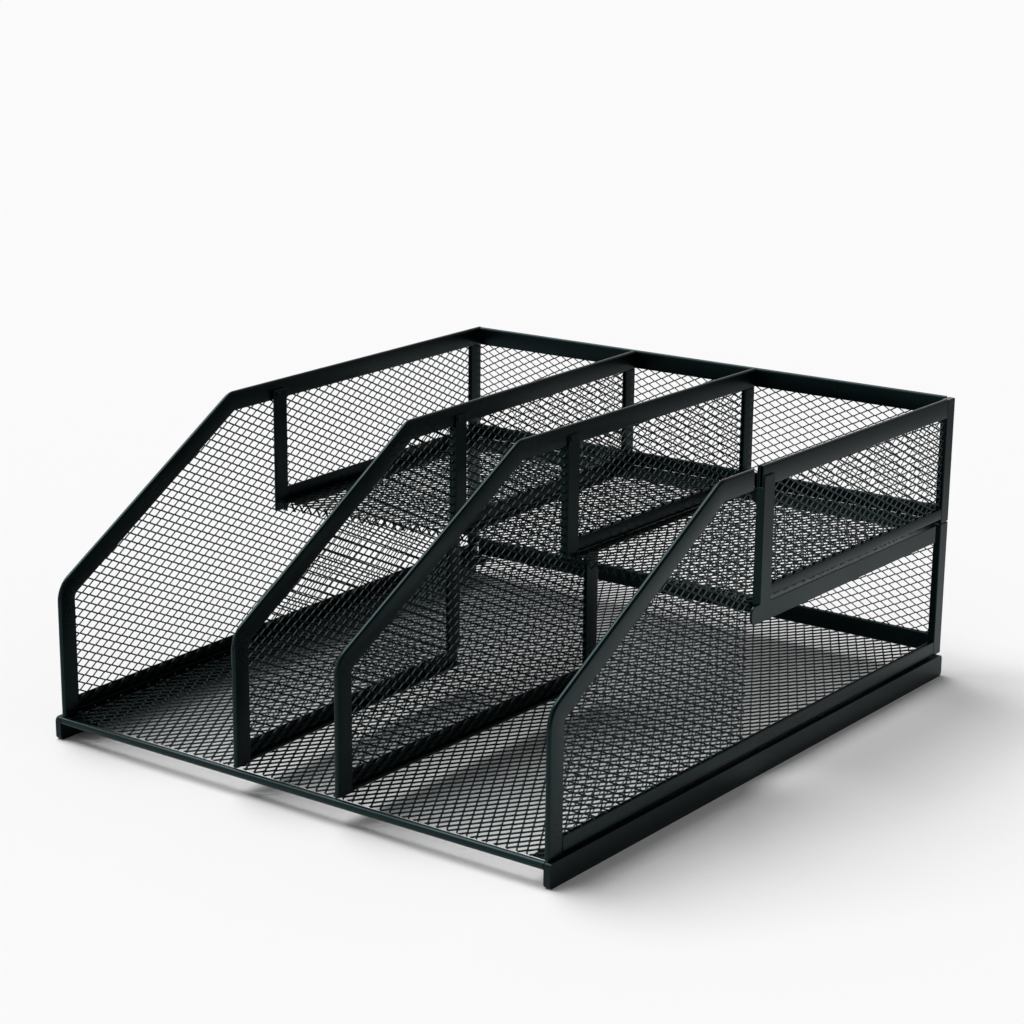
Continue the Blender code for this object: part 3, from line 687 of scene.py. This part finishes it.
# %% Nets of the shelf
SHELF_TOP = SHELF_HEIGHT + SHEET
SHELF_REAR = DEPTH - STRIP_THICKNESS - CLEARANCE
SHELF_LEAD = 0.0006
WALL_GAP = 0.0053
LEFT_LINE = (WALL_GAP, WALL_GAP - SPLAY)
RIGHT_LINE = (FRONT_WIDTH - WALL_GAP, FRONT_WIDTH + SPLAY - WALL_GAP)
POST_HALF = 0.0028
FLAP_DROP = 0.004
FLAP_FOOT = SHELF_HEIGHT - FLAP_DROP
for bay, left, left_front, right, right_front in (
    ("left", LEFT_LINE, WALL_POST_DEPTH, DIVIDER_1, DIVIDER_POST_DEPTH),
    ("middle", DIVIDER_1, DIVIDER_POST_DEPTH, DIVIDER_2, DIVIDER_POST_DEPTH),
    ("right", DIVIDER_2, DIVIDER_POST_DEPTH, RIGHT_LINE, WALL_POST_DEPTH),
):
    left_gap = 0 if left is LEFT_LINE else POST_HALF
    right_gap = 0 if right is RIGHT_LINE else POST_HALF
    start = Vector((along(left, left_front) + left_gap, left_front + SHELF_LEAD))
    end = Vector((along(right, right_front) - right_gap, right_front + SHELF_LEAD))
    flat_net(
        f"shelf_mesh_{bay}",
        [
            start, end,
            (along(right, SHELF_REAR) - right_gap, SHELF_REAR),
            (along(left, SHELF_REAR) + left_gap, SHELF_REAR),
        ],
        SHELF_TOP,
    )
    run = end - start
    turn = Matrix.Rotation(math.atan2(-run.x, run.y), 4, "Z")
    edge = TRAY @ Matrix.Translation((*start, 0)) @ turn
    flap = [
        (FLAP_FOOT, 0), (SHELF_TOP, 0), (SHELF_TOP, run.length), (FLAP_FOOT, run.length),
    ]
    net(f"shelf_front_strip_{bay}", edge, [flap], 0, FLOOR_SHEET, HANGING)

# %% [markdown]
# ## Posts, rails, bar and rivets
#
# These pieces already have their true shape in the CAD frame, but with sharp edges. A
# copy of each mesh is cleaned into plain faces and its edges are rounded with a bevel,
# whose narrow faces catch the highlights that sheared and painted steel shows.

# %% Rounding the edges of CAD pieces
MERGE = 0.000002
FLAT_ANGLE = math.radians(1)
EDGE_SEGMENTS = 3
RAIL_EDGE = 0.0006
POST_EDGE = 0.0004
SHELF_RAIL_EDGE = 0.0003
SMALL_EDGE = 0.0002


def softened(node, radius, paint):
    """A copy of a CAD piece with round edges, which stands for it."""
    built = bmesh.new()
    built.from_mesh(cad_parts[node].data)
    bmesh.ops.remove_doubles(built, verts=built.verts, dist=MERGE)
    bmesh.ops.dissolve_limit(
        built, angle_limit=FLAT_ANGLE, verts=built.verts[:], edges=built.edges[:]
    )
    made = piece(f"{node}_soft", built, Matrix.Identity(4), paint, node)
    bevel = made.modifiers.new("round edges", "BEVEL")
    bevel.width = radius
    bevel.segments = EDGE_SEGMENTS
    bevel.limit_method = "ANGLE"
    bevel.angle_limit = SHARP_ANGLE
    bevel.harden_normals = True


for node in ("left_foot_rail", "right_foot_rail"):
    softened(node, RAIL_EDGE, RAIL_PAINT)
for node in (
    "left_box_front_post", "right_box_front_post", "divider_1_box_post", "divider_2_box_post",
    "right_box_rear_post", "right_lower_rear_post", "right_opening_strip", "left_shelf_strip",
):
    softened(node, POST_EDGE, STRIP_PAINT)
for node in ("divider_1_shelf_rail", "divider_2_shelf_rail"):
    softened(node, SHELF_RAIL_EDGE, STRIP_PAINT)
for node in ("left_post_rivet", "divider_1_post_rivet", "divider_2_post_rivet", "front_bar"):
    softened(node, SMALL_EDGE, STRIP_PAINT)
print("softened the rails, posts, rivets and front bar")

# %% [markdown]
# ## Floor, light and camera
#
# The tray stands on a white sheet. A wide soft lamp high on the left makes the slopes
# shine and throws the soft shadow to the right, and an even pale world fills the rest.
# Satin paint shows what stands round it, so for mirror rays the world is a room: bright
# along the left and the back, and dimmer on the right and under its ceiling. For all
# rays but the camera's, the white sheet is painted darker from about half a metre out.
# This is a painted fall-off of the light round the tray.

# %% Floor
FLOOR_REACH = 40
FLOOR_COLOUR = (0.9, 0.9, 0.9, 1)
# Painted shade: the sheet's colour far from the tray, standing for light that falls off, seen only
# in reflections and bounced light.
PAINTED_FALLOFF_COLOUR = (0.3, 0.3, 0.3, 1)
SEEN_COLOUR = (0.95, 0.95, 0.95, 1)
NEAR_REACH = 0.45
FAR_REACH = 0.85

floor_mesh = bpy.data.meshes.new("white_sheet")
floor_corners = [
    (x * FLOOR_REACH, y * FLOOR_REACH, 0) for x, y in ((-1, -1), (1, -1), (1, 1), (-1, 1))
]
floor_mesh.from_pydata(floor_corners, [], [(0, 1, 2, 3)])
floor_sheet = bpy.data.objects.new("white_sheet", floor_mesh)
bpy.context.scene.collection.objects.link(floor_sheet)

material, graph = new_material("white_sheet")
seen = graph.node("ShaderNodeLightPath", output="Is Camera Ray")
place = graph.node("ShaderNodeTexCoord", output="Object")
reach = graph.node("ShaderNodeVectorMath", {"operation": "LENGTH"}, {0: place}, output="Value")
# Painted fall-off of light: the sheet darkens between NEAR_REACH and FAR_REACH for every ray but
# the camera's.
painted_falloff_share = share_of((reach - NEAR_REACH) / (FAR_REACH - NEAR_REACH))
floor_with_painted_falloff = graph.node(
    "ShaderNodeMix", {"data_type": "RGBA"},
    {"Factor": painted_falloff_share, 6: FLOOR_COLOUR, 7: PAINTED_FALLOFF_COLOUR}, output=2,
)
colour = graph.node(
    "ShaderNodeMix", {"data_type": "RGBA"}, {"Factor": seen, 6: floor_with_painted_falloff, 7: SEEN_COLOUR}, output=2
)
sheet_shader = graph.node("ShaderNodeBsdfDiffuse", inputs={"Color": colour})
graph.node("ShaderNodeOutputMaterial", inputs={"Surface": sheet_shader})
floor_mesh.materials.append(material)
print("floor ready")

# %% Light
WORLD_FILL = 0.24
CEILING_SHARE = 0.25
CEILING_START = 0.4
CEILING_BLEND = 0.25
DIM_SHARE = 0.25
DIM_START = -0.1
DIM_BLEND = 0.5
LAMP_STRENGTH = 2.7
LAMP_SPREAD = 44
LAMP_FROM = Vector((-0.5, 0.0, 1.0))

world = bpy.data.worlds.new("pale_studio")
bpy.context.scene.world = world
world.use_nodes = True
graph = Graph(world.node_tree)
seen = graph.node("ShaderNodeLightPath", output="Is Camera Ray")
mirrored = graph.node("ShaderNodeLightPath", output="Is Glossy Ray")
direction = graph.node("ShaderNodeTexCoord", output="Generated")
height = graph.node("ShaderNodeSeparateXYZ", inputs={"Vector": direction}, output="Z")
sideways = graph.node("ShaderNodeSeparateXYZ", inputs={"Vector": direction}, output="X")
ceiling = share_of((height - CEILING_START) / CEILING_BLEND)
dim_side = share_of((sideways - DIM_START) / DIM_BLEND)
mirror_level = (1 - ceiling * (1 - CEILING_SHARE)) * (1 - dim_side * (1 - DIM_SHARE))
strength = seen + (1 - seen) * (mirrored * mirror_level + (1 - mirrored) * WORLD_FILL)
backing = graph.node("ShaderNodeBackground", inputs={"Color": (1, 1, 1, 1), "Strength": strength})
graph.node("ShaderNodeOutputWorld", inputs={"Surface": backing})

lamp_data = bpy.data.lights.new("wide_lamp", "SUN")
lamp_data.energy = LAMP_STRENGTH
lamp_data.angle = math.radians(LAMP_SPREAD)
lamp = bpy.data.objects.new("wide_lamp", lamp_data)
lamp.rotation_euler = LAMP_FROM.to_track_quat("Z", "Y").to_euler()
bpy.context.scene.collection.objects.link(lamp)
print("lamp ready")

# %% Camera
CAMERA_PLACE = Vector((0.92773, -0.86347, 0.47428))
CAMERA_AZIMUTH = math.radians(35.73)
CAMERA_ELEVATION = math.radians(15.34)
CAMERA_ROLL = math.radians(0.57)
SENSOR_WIDTH = 36
LENS = 83.66
SIGHT_END = 200

camera_data = bpy.data.cameras.new("camera")
camera_data.sensor_width = SENSOR_WIDTH
camera_data.lens = LENS
camera_data.clip_end = SIGHT_END
camera = bpy.data.objects.new("camera", camera_data)
bpy.context.scene.collection.objects.link(camera)
camera.matrix_world = (
    Matrix.Translation(TRAY @ CAMERA_PLACE)
    @ Matrix.Rotation(CAMERA_AZIMUTH, 4, "Z")
    @ Matrix.Rotation(math.pi / 2 - CAMERA_ELEVATION, 4, "X")
    @ Matrix.Rotation(CAMERA_ROLL, 4, "Z")
)
bpy.context.scene.camera = camera
bpy.context.scene.view_settings.view_transform = "Standard"
print("camera at", [round(c, 3) for c in camera.location])
